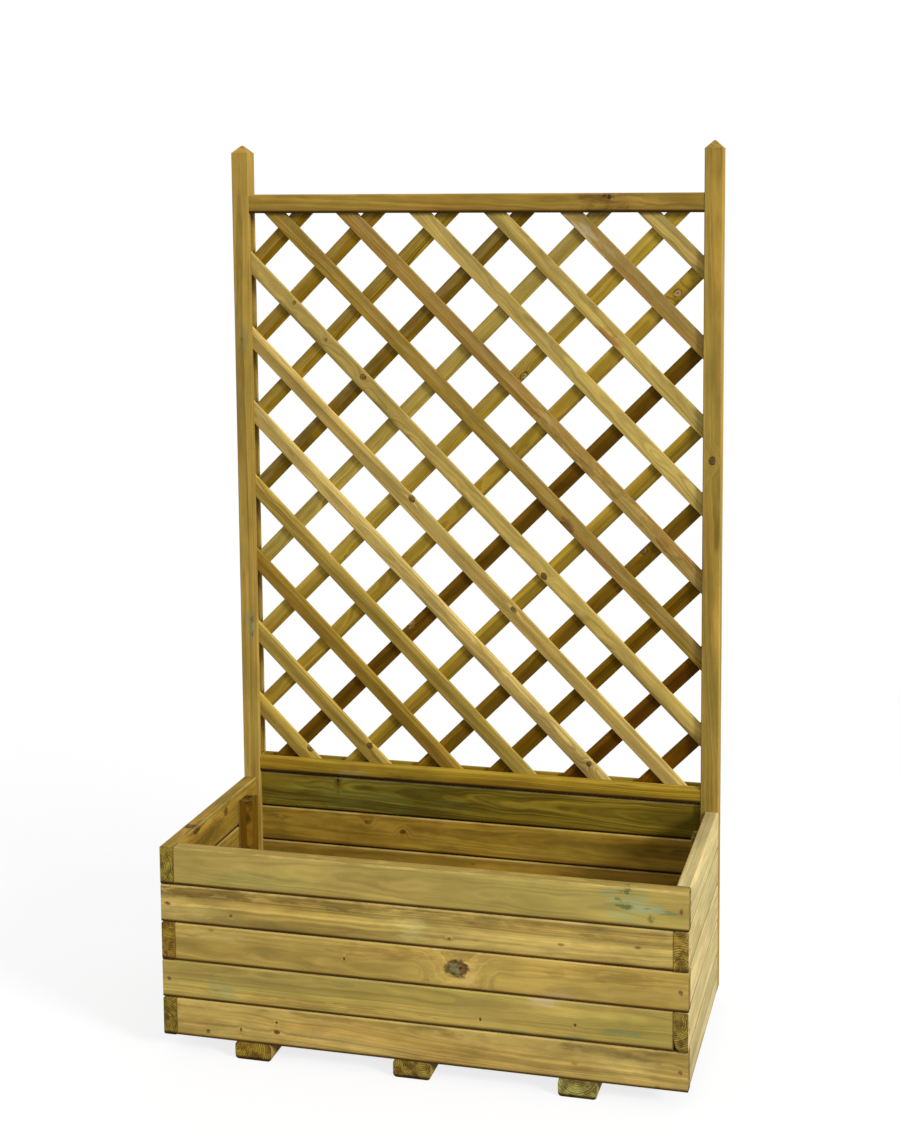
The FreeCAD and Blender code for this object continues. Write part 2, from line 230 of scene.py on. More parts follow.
def knotPaint(tree, colour, grain, nearest, values, shift):
    # pale halo, dark bark ring, swirled heart and a dark pith
    halo = maths(tree, "MULTIPLY", fade(tree, nearest, 0.95, 1.15), fade(tree, nearest, 1.3, 2.6, 1.0, 0.0))
    colour = tint(tree, maths(tree, "MULTIPLY", halo, 0.28), colour, timberTints["knotHalo"], "MULTIPLY")
    light, deep = values["knotTones"]
    swirl = cloud(tree, grain, (70.0, 40.0, 90.0), shift + 61, 3.0, 0.6)
    heart = tint(tree, fade(tree, swirl, 0.42, 0.56), paint(*light), paint(*deep))
    rings = maths(tree, "FRACT", maths(tree, "MULTIPLY", nearest, 3.7))
    heart = tint(tree, fade(tree, rings, 0.3, 0.9, 0.0, 0.30), heart, timberTints["knotRings"], "MULTIPLY")
    heart = tint(tree, fade(tree, nearest, 0.10, 0.36, 0.85, 0.0), heart, paint(*knotPith))
    colour = tint(tree, fade(tree, nearest, 0.80, 1.08, 0.90, 0.0), colour, heart)
    edge = maths(tree, "ABSOLUTE", maths(tree, "SUBTRACT", nearest, 0.94))
    broken = fade(tree, swirl, 0.36, 0.60, 0.45, 1.0)
    bark = maths(tree, "MULTIPLY", fade(tree, edge, 0.04, 0.30, 0.85, 0.0), broken)
    return tint(tree, bark, colour, paint(*knotBark))


def washOver(tree, colour, grain, light, washes, shift):
    # ragged patches of another colour, laid over the timber
    for wx, wz, rx, rz, washTone, strength in washes:
        away = vectors(tree, "SUBTRACT", grain, (wx, 0.0, wz))
        away = vectors(tree, "LENGTH", vectors(tree, "MULTIPLY", away, (1.0 / rx, 0.0, 1.0 / rz)))
        lumpSize = (max(20.0, 0.7 / rx), 60.0, max(70.0, 0.7 / rz))
        lumps = cloud(tree, grain, lumpSize, shift + 50 + wx, 4.0, 0.65)
        away = maths(tree, "ADD", away, fade(tree, lumps, 0.25, 0.75, -0.8, 0.8))
        washed = times(tree, paint(*washTone)[:3], light)
        colour = tint(tree, fade(tree, away, 0.30, 1.10, strength, 0.0), colour, washed)
    return colour


def endGrain(tree, grain, late, values, shift):
    # sawn ends are darker, with plain rings, pores and greenish treatment
    flecks = cloud(tree, grain, (40.0, 420.0, 420.0), shift + 71, 4.0, 0.75)
    patch = cloud(tree, grain, (10.0, 60.0, 60.0), shift + 77, 3.0, 0.6)
    light = maths(tree, "MULTIPLY", sway(tree, flecks, 0.40), sway(tree, patch, 0.54))
    light = maths(tree, "MULTIPLY", light, fade(tree, late, 0.0, 1.0, 1.22, 0.46))
    colour = times(tree, paint(*values["endTone"])[:3], light)
    return tint(tree, fade(tree, patch, 0.50, 0.66, 0.0, 0.55), colour, timberTints["endPatch"], "MULTIPLY")


def arrisLightAndShade(tree, colour, grain, onEnd, halfSizes, values, shift):
    # painted highlight on the upper arrises, painted shade along the lower ones, and painted shade lines in
    # the joints and where an end butts against a neighbour
    split = put(tree, "ShaderNodeSeparateXYZ", {0: grain}).outputs
    halfX, halfY, halfZ = halfSizes
    nearY = maths(tree, "SUBTRACT", halfY, maths(tree, "ABSOLUTE", split[1]))
    nearZ = maths(tree, "SUBTRACT", halfZ, split[2])
    # painted highlight along the upper arrises, ragged, kept off the sawn ends
    upper = fade(tree, maths(tree, "MAXIMUM", nearY, nearZ), 0.0010, 0.0046, values["arrisHighlight"], 0.0)
    ragged = fade(tree, cloud(tree, grain, (16.0, 60.0, 60.0), shift + 83, 3.0), 0.35, 0.65, 0.25, 1.0)
    offEnd = maths(tree, "SUBTRACT", 1.0, onEnd)
    upper = maths(tree, "MULTIPLY", maths(tree, "MULTIPLY", upper, ragged), offEnd)
    colour = tint(tree, upper, colour, paint(*highlightTone))
    fromFoot = maths(tree, "ADD", split[2], halfZ)
    # painted shade fading up from the lower arris
    soft = fade(tree, fromFoot, 0.0015, 0.0140, values["dirt"] * 0.65, 0.0)
    colour = tint(tree, soft, colour, timberTints["dirt"], "MULTIPLY")
    # painted shade line in the joint, and where an end butts against a neighbour
    seam = fade(tree, fromFoot, values["seam"] * 0.45, values["seam"], min(1.0, values["dirt"] * 1.6), 0.0)
    outwards = maths(tree, "MULTIPLY", split[0], math.copysign(1.0, values["butted"]))
    fromEnd = maths(tree, "SUBTRACT", halfX, outwards)
    butt = fade(tree, fromEnd, 0.0008, 0.0030, abs(values["butted"]), 0.0)
    seam = maths(tree, "MAXIMUM", seam, maths(tree, "MULTIPLY", butt, offEnd))
    return tint(tree, seam, colour, timberTints["seam"], "MULTIPLY")


def treatedTimber(name, grainWay, middle, halfSizes, seed, **look):
    values = dict(timberDefaults)
    values.update(look)
    shift = random.Random(seed).uniform(0.0, 60.0)
    material, tree = freshMaterial(name)
    grain, onEnd = grainSpace(tree, grainWay, middle)
    nearest, push = knotField(tree, grain, values["knots"], shift)
    late, flow = yearRings(tree, grain, push, values, shift)

    pale = paint(*values["tone"])
    dark = values["ringDark"]
    patchy = fade(tree, cloud(tree, grain, (4.0, 26.0, 26.0), shift + 5, 2.0), 0.30, 0.70, 0.30, 1.0)
    show = maths(tree, "MULTIPLY", late, maths(tree, "MULTIPLY", patchy, values["ringShow"]))
    colour = tint(tree, show, pale, (pale[0] * dark, pale[1] * dark * 0.93, pale[2] * dark * 0.72, 1.0))
    band = cloud(tree, flow, (60.0, 0.5, 3.0), shift + 21, 3.0, 0.6)
    colour = tint(tree, fade(tree, band, 0.44, 0.64, 0.0, values["bands"]), colour,
                  timberTints["band"], "MULTIPLY")

    # broad streaks and fine fibre that follow the rings, and clouds
    broad = cloud(tree, flow, (110.0, 1.1, 12.0), shift + 11, 3.0, 0.55)
    cloudy = cloud(tree, grain, (10.0, 34.0, 34.0), shift + 17, 4.0, 0.6)
    fibres = cloud(tree, flow, (640.0, 3.0, 300.0), shift + 23, 3.0, 0.6)
    light = maths(tree, "MULTIPLY", sway(tree, broad, values["streak"]), sway(tree, cloudy, values["mottle"]))
    light = maths(tree, "MULTIPLY", light, sway(tree, fibres, values["fibre"]))
    colour = times(tree, colour, light)

    greenish = cloud(tree, grain, (2.2, 15.0, 15.0), shift + 31, 3.0, 0.6)
    colour = tint(tree, fade(tree, greenish, 0.44, 0.66, 0.0, values["green"]), colour,
                  timberTints["green"], "MULTIPLY")
    warm = cloud(tree, grain, (3.0, 19.0, 19.0), shift + 41, 3.0, 0.6)
    colour = tint(tree, fade(tree, warm, 0.46, 0.70, 0.0, values["brown"]), colour,
                  timberTints["brown"], "MULTIPLY")

    colour = washOver(tree, colour, grain, light, values["washes"], shift)

    # pin knots
    spots = vectors(tree, "ADD", vectors(tree, "MULTIPLY", grain, (15.0, 9.0, 30.0)), (shift, 1.0, shift))
    pins = put(tree, "ShaderNodeTexVoronoi", {"Vector": spots, "Scale": 1.0}, feature="F1")
    chosen = put(tree, "ShaderNodeSeparateColor", {0: pins.outputs["Color"]}).outputs[0]
    chosen = fade(tree, chosen, values["pins"], values["pins"] + 0.25)
    pinSpot = maths(tree, "MULTIPLY", fade(tree, pins.outputs["Distance"], 0.035, 0.13, 0.8, 0.0), chosen)
    colour = tint(tree, pinSpot, colour, timberTints["pin"], "MULTIPLY")

    if values["knots"]:
        colour = knotPaint(tree, colour, grain, nearest, values, shift)
    colour = washOver(tree, colour, grain, light, values["inlays"], shift + 4.0)
    colour = tint(tree, onEnd, colour, endGrain(tree, grain, late, values, shift))
    colour = arrisLightAndShade(tree, colour, grain, onEnd, halfSizes, values, shift)

    # fibre and late wood stand up a little; a sawn face has the saw's ripple
    height = maths(tree, "ADD", maths(tree, "MULTIPLY", fibres, 0.7), maths(tree, "MULTIPLY", late, 0.35))
    if values["sawn"]:
        ripple = cloud(tree, grain, (420.0, 12.0, 12.0), shift + 91, 2.0)
        height = maths(tree, "ADD", height, maths(tree, "MULTIPLY", ripple, values["sawn"]))
    bump = put(tree, "ShaderNodeBump", {"Height": height, "Strength": 0.4, "Distance": 0.0006})
    shine = fade(tree, fibres, 0.2, 0.8, 0.62, 0.78)
    surface = {"Base Color": colour, "Roughness": shine, "Specular IOR Level": values["gloss"],
               "Normal": bump.outputs[0]}
    toSurface(tree, put(tree, "ShaderNodeBsdfPrincipled", surface))
    return material


def finish(nodeName, material):
    thing = nodes[nodeName]
    if not thing.material_slots:
        thing.data.materials.append(material)
    for slot in thing.material_slots:
        slot.material = material


lathFace = 0.030              # width of a lath


def dress(nodeName, grainWay, seed, **look):
    low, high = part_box(nodeName)
    middle = [(a + b) / 2 for a, b in zip(low, high)]
    half = [(b - a) / 2 for a, b in zip(low, high)]
    byWay = {"X": half, "Y": (half[1], half[0], half[2]), "Z": (half[2], half[1], half[0])}
    halves = byWay.get(grainWay, (1.0, half[1], lathFace / 2))
    finish(nodeName, treatedTimber(nodeName + "_timber", grainWay, middle, halves, seed, **look))


# knots and washes are along and across the board from its middle, in metres
frontBoards = {
    1: {"tone": (174, 151, 80), "green": 0.30, "brown": 0.12, "ringShow": 0.30, "heart": (0.055, 0.004),
        "bands": 0.12, "streak": 0.14, "mottle": 0.11, "pins": 0.88, "arrisHighlight": 0.22,
        "washes": ((0.366, 0.004, 0.050, 0.032, (150, 152, 96), 0.75),
                   (0.0, 0.0354, 4.0, 0.0034, (146, 122, 58), 0.85),
                   (0.425, -0.004, 0.035, 0.004, (108, 122, 84), 0.70),
                   (-0.30, -0.012, 0.090, 0.020, (150, 142, 78), 0.45)),
        "inlays": ((0.388, 0.002, 0.032, 0.009, (150, 156, 116), 0.62),
                   (0.355, 0.028, 0.010, 0.007, (88, 96, 52), 0.80),
                   (0.3429, 0.013, 0.008, 0.004, (100, 104, 60), 0.70),
                   (0.3575, 0.001, 0.013, 0.006, (84, 94, 50), 0.85),
                   (0.392, 0.001, 0.010, 0.003, (96, 112, 74), 0.70),
                   (0.398, -0.017, 0.006, 0.009, (92, 100, 58), 0.75))},
    2: {"tone": (183, 158, 86), "green": 0.22, "brown": 0.40, "ringShow": 0.50, "heart": (0.030, -0.030),
        "bands": 0.35, "streak": 0.24, "mottle": 0.22, "pins": 0.62,
        "knots": ((-0.3288, -0.0124, 0.0030, 0.0022), (0.0733, -0.0148, 0.0030, 0.0022)),
        "washes": ((-0.40, 0.024, 0.14, 0.011, (120, 95, 40), 0.80),
                   (-0.17, 0.026, 0.20, 0.009, (120, 96, 40), 0.65),
                   (0.06, 0.024, 0.16, 0.008, (120, 100, 48), 0.6),
                   (0.005, -0.010, 0.040, 0.022, (196, 180, 106), 0.6),
                   (-0.40, -0.012, 0.06, 0.014, (196, 174, 98), 0.45),
                   (0.30, 0.022, 0.15, 0.010, (142, 116, 56), 0.6))},
    3: {"tone": (185, 157, 80), "green": 0.16, "brown": 0.28, "ringShow": 0.50, "heart": (0.060, -0.012),
        "bands": 0.28, "streak": 0.20, "mottle": 0.14, "pins": 0.72,
        "knotTones": ((96, 74, 34), (66, 46, 18)),
        "knots": ((0.0618, 0.0026, 0.0190, 0.0155), (-0.143, 0.0002, 0.0018, 0.0030)),
        "washes": ((0.240, -0.030, 0.032, 0.012, (184, 160, 126), 0.65),
                   (0.070, 0.000, 0.044, 0.026, (208, 178, 104), 0.65),
                   (0.36, 0.014, 0.14, 0.012, (140, 112, 50), 0.5),
                   (-0.40, 0.018, 0.12, 0.010, (202, 176, 100), 0.5),
                   (-0.08, 0.020, 0.10, 0.010, (146, 112, 52), 0.5)),
        "inlays": ((0.0600, 0.0026, 0.0165, 0.0125, (132, 126, 78), 0.90),
                   (0.0560, 0.0010, 0.0080, 0.0080, (98, 110, 76), 0.75),
                   (0.0690, 0.0030, 0.0080, 0.0070, (122, 84, 52), 0.85),
                   (0.0680, 0.0034, 0.0042, 0.0036, (44, 26, 12), 0.95))},
    4: {"tone": (178, 154, 80), "green": 0.42, "brown": 0.18, "ringShow": 0.42, "heart": (-0.050, 0.020),
        "bands": 0.20, "streak": 0.20, "mottle": 0.11, "pins": 0.78,
        "knots": ((0.1277, -0.0139, 0.0020, 0.0028), (0.2942, -0.0061, 0.0020, 0.0026)),
        "washes": ((0.235, 0.028, 0.030, 0.008, (184, 162, 126), 0.6),
                   (0.375, -0.012, 0.034, 0.006, (134, 144, 92), 0.65),
                   (-0.353, -0.012, 0.030, 0.024, (142, 142, 86), 0.6),
                   (0.20, -0.030, 0.14, 0.005, (122, 134, 86), 0.55),
                   (-0.20, -0.020, 0.20, 0.008, (140, 110, 50), 0.45))},
    5: {"tone": (186, 158, 86), "green": 0.15, "brown": 0.40, "ringShow": 0.46, "heart": (0.040, 0.026),
        "bands": 0.30, "streak": 0.22, "mottle": 0.22, "pins": 0.55,
        "knots": ((-0.271, -0.0087, 0.0050, 0.0032), (-0.4016, -0.021, 0.0034, 0.0034),
                  (-0.271, 0.0092, 0.0020, 0.0020), (-0.339, -0.0114, 0.0020, 0.0034)),
        "washes": ((0.33, 0.022, 0.10, 0.012, (122, 108, 56), 0.6),
                   (0.36, -0.004, 0.05, 0.014, (196, 170, 98), 0.5),
                   (-0.10, 0.028, 0.20, 0.008, (140, 114, 52), 0.55))},
}

sideBoards = {
    "left": {"tone": (148, 120, 46), "green": 0.30, "ringShow": 0.6, "mottle": 0.24,
             "endTone": (140, 117, 44),
             "washes": ((0.0, -0.008, 0.60, 0.036, (122, 96, 30), 0.92),)},
    # the right side boards are paler and greyer than the rest: partly their own colour, partly a painted
    # sheen of the strong light on that side
    "right": {"tone": (190, 173, 119), "green": 0.25, "ringShow": 0.42, "brown": 0.20, "dirt": 0.42,
              "bands": 0.24, "streak": 0.18, "endTone": (140, 115, 50)},
}

# pith of the boards whose sawn front ends show: thickness, width
endHearts = {
    ("left", 1): (0.030, 0.000), ("left", 3): (-0.006, 0.036), ("left", 5): (0.022, -0.030),
    ("right", 2): (-0.0007, -0.0206), ("right", 4): (0.020, 0.020),
}

sideMarks = {
    ("left", 1): {"knots": ((0.0436, 0.0155, 0.0080, 0.0070), (-0.0900, 0.0290, 0.0140, 0.0070)),
                  "knotTones": ((112, 84, 30), (84, 58, 18))},
    ("left", 3): {"endTone": (140, 109, 36)},
    ("left", 5): {"endTone": (128, 106, 37)},
    ("right", 2): {"tone": (180, 163, 111), "endTone": (149, 122, 50),
                   "washes": ((-0.193, 0.028, 0.010, 0.012, (132, 118, 66), 0.7),)},
    ("right", 3): {"tone": (195, 176, 124)},
    ("right", 4): {"endTone": (134, 110, 46), "washes": ((-0.193, 0.026, 0.010, 0.014, (104, 84, 40), 0.7),)},
    ("right", 5): {"tone": (171, 155, 108)},
}

backBoards = {
    1: {"tone": (119, 101, 28), "green": 0.60, "brown": 0.30, "mottle": 0.14, "fibre": 0.44, "streak": 0.30,
        "knots": ((-0.2801, 0.0293, 0.0028, 0.0080),), "knotTones": ((70, 48, 20), (50, 32, 12)),
        "washes": ((-0.25, -0.004, 0.22, 0.034, (114, 112, 44), 0.6),)},
    2: {"tone": (158, 127, 46), "green": 0.25, "brown": 0.45, "mottle": 0.24, "arrisHighlight": 0.40,
        "knots": ((-0.2189, 0.0184, 0.0060, 0.0040), (-0.1468, 0.0040, 0.0055, 0.0045)),
        "knotTones": ((122, 104, 46), (98, 64, 24)),
        "inlays": ((-0.4100, 0.0140, 0.0240, 0.0060, (96, 76, 26), 0.70),
                   (-0.1468, 0.0040, 0.0040, 0.0034, (88, 48, 18), 0.80))},
    3: {"tone": (152, 121, 44), "green": 0.20, "brown": 0.35, "arrisHighlight": 0.40},
    4: {"tone": (150, 124, 54)},
    5: {"tone": (150, 124, 54)},
}

nailRust = (0.0052, 0.0048, (124, 80, 46), 0.80)      # half length, half width, colour, strength
nailInset = 0.0125                                    # from a corner of the box to the nails

for course, look in frontBoards.items():
    lapped = 1 if course % 2 else -1                  # the end that covers its neighbour and is nailed to it
    low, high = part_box("front_board_%d" % course)
    nailAlong = lapped * ((high[0] - low[0]) / 2 - nailInset)
    look["inlays"] = look.get("inlays", ()) + ((nailAlong, 0.0) + nailRust,)
    # with a painted shade line along the other end, where it butts against its neighbour
    dress("front_board_%d" % course, "X", 100 + course, butted=-0.8 * lapped, **look)


def sideLook(side, course):
    dice = random.Random("%s %d" % (side, course))
    look = dict(sideBoards[side])
    heart = (dice.choice((-1, 1)) * dice.uniform(0.02, 0.05), dice.uniform(-0.03, 0.03))
    look["heart"] = endHearts.get((side, course), heart)
    look["ringGap"] = dice.uniform(0.0028, 0.0040)
    look["lean"] = (dice.uniform(-0.02, 0.02), dice.uniform(-0.03, 0.03))
    look.update(sideMarks.get((side, course), {}))
    low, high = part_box("%s_board_%d" % (side, course))
    if (side == "left") == (course % 2 == 1):
        look["inlays"] = ((nailInset - (high[1] - low[1]) / 2, 0.0) + nailRust,)
    return look


for course in range(1, 6):
    dress("left_board_%d" % course, "Y", 200 + course, **sideLook("left", course))
    dress("right_board_%d" % course, "Y", 220 + course, **sideLook("right", course))
for course, look in backBoards.items():
    # the back boards inside the box get heavier painted shade along their lower arrises and in the joints
    dress("back_board_%d" % course, "X", 300 + course, dirt=0.9, seam=0.0060, gloss=0.05, **look)
print("wall boards dressed")

underTimber = {
    "bearer_1": {"tone": (158, 132, 62), "endTone": (138, 107, 36), "heart": (0.03, 0.0), "green": 0.4},
    "bearer_2": {"tone": (152, 124, 56), "endTone": (138, 112, 46), "heart": (-0.02, 0.012), "green": 0.4},
    "bearer_3": {"tone": (156, 134, 68), "endTone": (150, 136, 70), "heart": (0.0, 0.02), "green": 0.6},
}

insideTimber = {
    "corner_batten_front_left": {"tone": (146, 118, 50)},
    "corner_batten_front_right": {"tone": (142, 116, 48)},
    "corner_batten_rear_left": {"tone": (108, 76, 10), "heart": (0.012, 0.004), "ringShow": 0.6,
                                "endTone": (104, 76, 22), "gloss": 0.04},
    "corner_batten_rear_right": {"tone": (142, 116, 48)},
}

for number, (name, look) in enumerate(underTimber.items()):
    dress(name, "Y", 400 + number, ringGap=0.0034, **look)
for number, (name, look) in enumerate(insideTimber.items()):
    dress(name, "Z", 420 + number, dirt=0.0, **look)
dress("floor_boards", "X", 440, tone=(148, 122, 54), heart=(-0.06, 0.02), sawn=0.4)
print("bearers, floor and battens dressed")

frameTimber = {
    "left_post": ("Z", {"tone": (165, 136, 62), "heart": (-0.026, 0.010), "lean": (0.008, 0.012),
                        "dirt": 0.0, "arrisHighlight": 0.15, "pins": 0.85,
                        "washes": ((0.4244, 0.0, 0.036, 0.013, (132, 120, 66), 0.7),
                                   (-0.1407, -0.006, 0.034, 0.009, (128, 128, 88), 0.65)),
                        "inlays": ((0.4260, 0.003, 0.007, 0.003, (104, 84, 40), 0.7),
                                   (-0.1307, -0.0067, 0.0090, 0.0040, (112, 92, 50), 0.8),
                                   (-0.1589, -0.0061, 0.0060, 0.0035, (104, 86, 46), 0.7))}),
    "right_post": ("Z", {"tone": (163, 133, 59), "heart": (0.020, -0.016), "lean": (0.010, -0.010),
                         "dirt": 0.0, "arrisHighlight": 0.15, "pins": 0.85, "knotTones": ((122, 112, 84), (84, 60, 34)),
                         "knots": ((0.2151, -0.0005, 0.0080, 0.0060),)}),
    "top_rail": ("X", {"tone": (156, 125, 52), "heart": (0.024, 0.012), "brown": 0.30, "pins": 0.85,
                       "washes": ((0.2600, 0.000, 0.046, 0.026, (108, 78, 28), 0.85),
                                  (0.3200, 0.004, 0.050, 0.012, (172, 138, 66), 0.5)),
                       "inlays": ((0.2617, 0.011, 0.014, 0.006, (92, 72, 32), 0.8),
                                  (0.2560, 0.013, 0.003, 0.005, (48, 32, 12), 0.9),
                                  (0.2660, 0.012, 0.003, 0.005, (54, 36, 14), 0.9))}),
    "bottom_rail": ("X", {"tone": (153, 125, 34), "heart": (-0.020, 0.020), "brown": 0.35, "ringShow": 0.8,
                          "washes": ((-0.2439, -0.0064, 0.030, 0.010, (150, 144, 88), 0.6),
                                     (-0.15, -0.009, 0.03, 0.008, (108, 80, 26), 0.6))}),
}

for number, (name, (way, look)) in enumerate(frameTimber.items()):
    dress(name, way, 500 + number, **look)
print("posts and rails dressed")

# every lath's own tone, knots and washes, the front ones from the lower left corner, the back ones from the
# upper left; what isn't given here is drawn at random
lathLooks = {
    "front_lath_01": {"tone": (188, 160, 74),
                      "knots": ((0.0592, 0.000, 0.0070, 0.0050),)},
    "front_lath_02": {"tone": (177, 151, 71),
                      "knots": ((0.1375, -0.006, 0.0060, 0.0050),)},
    "front_lath_03": {"tone": (160, 130, 50)},
    "front_lath_04": {"tone": (184, 156, 74)},
    "front_lath_05": {"tone": (208, 182, 107),
                      "knots": ((0.4516, -0.008, 0.0050, 0.0050),)},
    "front_lath_06": {"tone": (199, 172, 98),
                      "knots": ((-0.1478, -0.005, 0.0080, 0.0050), (0.1413, -0.009, 0.0070, 0.0040))},
    "front_lath_07": {"tone": (180, 155, 82),
                      "knots": ((-0.5088, 0.0072, 0.0046, 0.0042), (-0.4134, 0.0025, 0.0034, 0.0034),
                                (-0.3114, 0.0052, 0.0062, 0.0052), (0.2037, -0.007, 0.0066, 0.0052))},
    "front_lath_08": {"tone": (141, 113, 44),
                      "washes": ((0.2326, 0.004, 0.024, 0.014, (100, 66, 28), 0.9),
                                 (0.12, 0.005, 0.13, 0.008, (116, 88, 44), 0.6),
                                 (0.33, 0.000, 0.12, 0.014, (150, 112, 66), 0.6))},
    "front_lath_09": {"tone": (147, 114, 52),
                      "washes": ((0.30, 0.000, 0.26, 0.03, (172, 144, 76), 0.8),)},
    "front_lath_10": {"tone": (171, 146, 77)},
    "front_lath_11": {"tone": (176, 151, 78),
                      "washes": ((0.0361, 0.004, 0.030, 0.012, (146, 98, 50), 0.8),)},
    "front_lath_12": {"tone": (145, 117, 56),
                      "washes": ((-0.1436, 0.0, 0.10, 0.02, (158, 144, 112), 0.75),
                                 (0.02, 0.0, 0.14, 0.02, (140, 104, 58), 0.6))},
    "front_lath_13": {"tone": (170, 145, 79)},
    "back_lath_01": {"tone": (134, 101, 12)},
    "back_lath_02": {"tone": (145, 112, 22)},
    "back_lath_03": {"tone": (142, 112, 26),
                     "ringGap": 0.0026, "ringShow": 1.0, "heart": (0.016, 0.002), "lean": (0.03, 0.012),
                     "ringDark": 0.50},
    "back_lath_04": {"tone": (116, 88, 14)},
    "back_lath_05": {"tone": (160, 136, 60)},
    "back_lath_06": {"tone": (161, 133, 44),
                     "knots": ((0.1672, 0.005, 0.0090, 0.0060), (-0.3447, 0.0, 0.0060, 0.0055)),
                     "ringShow": 0.9, "ringGap": 0.0028, "knotTones": ((150, 136, 84), (112, 88, 40))},
    "back_lath_07": {"tone": (162, 132, 46),
                     "knots": ((0.5526, -0.001, 0.0085, 0.0065),),
                     "knotTones": ((160, 136, 84), (120, 92, 44))},
    "back_lath_08": {"tone": (108, 77, 11),
                     "washes": ((-0.2041, -0.004, 0.012, 0.006, (176, 136, 84), 0.7),)},
    "back_lath_09": {"tone": (160, 132, 44)},
    "back_lath_10": {"tone": (132, 101, 22),
                     "knots": ((0.2352, -0.004, 0.0080, 0.0060),)},
    "back_lath_11": {"tone": (116, 86, 8)},
    "back_lath_12": {"tone": (106, 68, 3)},
    "back_lath_13": {"tone": (108, 71, 2)},
}


def lathLook(name):
    dice = random.Random(name)
    tone = lathLooks[name]["tone"]
    look = {
        "heart": (dice.choice((-1, 1)) * dice.uniform(0.008, 0.05), dice.uniform(-0.03, 0.03)),
        "lean": (dice.uniform(-0.02, 0.02), dice.uniform(-0.03, 0.03)),
        "ringGap": dice.uniform(0.0024, 0.0042),
        "green": dice.uniform(0.05, 0.3),
        "brown": dice.uniform(0.05, 0.3),
        "ringShow": dice.uniform(0.45, 0.85),
        "wild": dice.uniform(1.0, 4.0),
        "knotTones": ((134, 110, 60), (94, 70, 32)),
        "endTone": [c * 0.8 for c in tone],
        "bands": 0.14,
        "pins": 0.84,
        # a little painted shade along the lower edge and painted highlight along the upper one
        "dirt": 0.22,
        "arrisHighlight": 0.14,
        "gloss": 0.04,
    }
    look.update(lathLooks[name])
    return look


lathSeeds = {"front_lath": 600, "back_lath": 650}
lathWays = {"front_lath": "falling", "back_lath": "rising"}

for name in lathLooks:
    layer, number = name.rsplit("_", 1)
    dress(name, lathWays[layer], lathSeeds[layer] + int(number), **lathLook(name))
print("laths dressed")

# wane: where the round of the log shows, each cut is a point and the way it faces out
waned = {
    "right_board_4": {
        "slot": "wall_boards",
        "grain": "Y",
        "cuts": (((0.4600, -0.21, 0.1020), (-0.80, -0.060, -0.60)),
                 ((0.4530, -0.21, 0.1130), (-0.97, -0.050, -0.24))),
    },
    "corner_batten_rear_left": {
        "slot": "battens",
        "grain": "Z",
        "cuts": (((-0.4260, 0.0960, 0.30), (0.80, -0.60, 0.030)),
                 ((-0.4310, 0.0860, 0.34), (0.45, -0.89, -0.020)),
                 ((-0.4262, 0.1010, 0.22), (0.96, -0.27, -0.015))),
    },
}

barkFinish = {"light": (112, 80, 18), "dark": (64, 42, 8), "roughness": 0.85, "gloss": 0.05}


def barkSkin(values):
    material, tree = freshMaterial("wane_bark")
    point = put(tree, "ShaderNodeTexCoord", {}).outputs["Object"]
    flakes = cloud(tree, point, (60.0, 60.0, 34.0), 5.0, 4.0, 0.6)
    colour = tint(tree, fade(tree, flakes, 0.38, 0.62), paint(*values["dark"]), paint(*values["light"]))
    bump = put(tree, "ShaderNodeBump", {"Height": flakes, "Strength": 0.7, "Distance": 0.0015})
    surface = {"Base Color": colour, "Roughness": values["roughness"], "Specular IOR Level": values["gloss"],
               "Normal": bump.outputs[0]}
    toSurface(tree, put(tree, "ShaderNodeBsdfPrincipled", surface))
    return material


def wanedPiece(nodeName, values, timber, bark):
    # the planed piece again, with the corner of the log cut off it
    form = bmesh.new()
    form.from_mesh(nodes[nodeName].data)
    bmesh.ops.remove_doubles(form, verts=form.verts, dist=0.000001)
    for face in form.faces:
        face.material_index = 0
    for place, way in values["cuts"]:
        whole = form.verts[:] + form.edges[:] + form.faces[:]
        cut = bmesh.ops.bisect_plane(form, geom=whole, plane_co=place, plane_no=Vector(way).normalized(),
                                     clear_outer=True)
        edges = [e for e in cut["geom_cut"] if isinstance(e, bmesh.types.BMEdge)]
        for face in bmesh.ops.holes_fill(form, edges=edges)["faces"]:
            face.material_index = 1
    bmesh.ops.triangulate(form, faces=form.faces)
    bmesh.ops.recalc_face_normals(form, faces=form.faces)
    mesh = bpy.data.meshes.new(nodeName + "_waned")
    form.to_mesh(mesh)
    form.free()
    mesh.materials.append(timber)
    mesh.materials.append(bark)
    piece = bpy.data.objects.new(nodeName + "_waned", mesh)
    bpy.context.scene.collection.objects.link(piece)
    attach(piece, "root")
    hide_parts(nodeName)


bark = barkSkin(barkFinish)
for nodeName, values in waned.items():
    wanedPiece(nodeName, values, nodes[nodeName].material_slots[0].material, bark)
print("waned pieces cut")

nailFinish = {"steel": (140, 96, 66), "rust": (104, 52, 30), "metal": 0.35, "roughness": 0.55}


def nailMetal(values):
    material, tree = freshMaterial("nail_steel")
    point = put(tree, "ShaderNodeTexCoord", {}).outputs["Object"]
    spots = cloud(tree, point, (420.0, 420.0, 420.0), 3.0, 3.0, 0.6)
    colour = tint(tree, fade(tree, spots, 0.40, 0.58), paint(*values["steel"]), paint(*values["rust"]))
    bump = put(tree, "ShaderNodeBump", {"Height": spots, "Strength": 0.4, "Distance": 0.0003})
    surface = {"Base Color": colour, "Metallic": values["metal"], "Roughness": values["roughness"],
               "Normal": bump.outputs[0]}
    toSurface(tree, put(tree, "ShaderNodeBsdfPrincipled", surface))
    return material


finish("nails", nailMetal(nailFinish))
print("nails dressed")

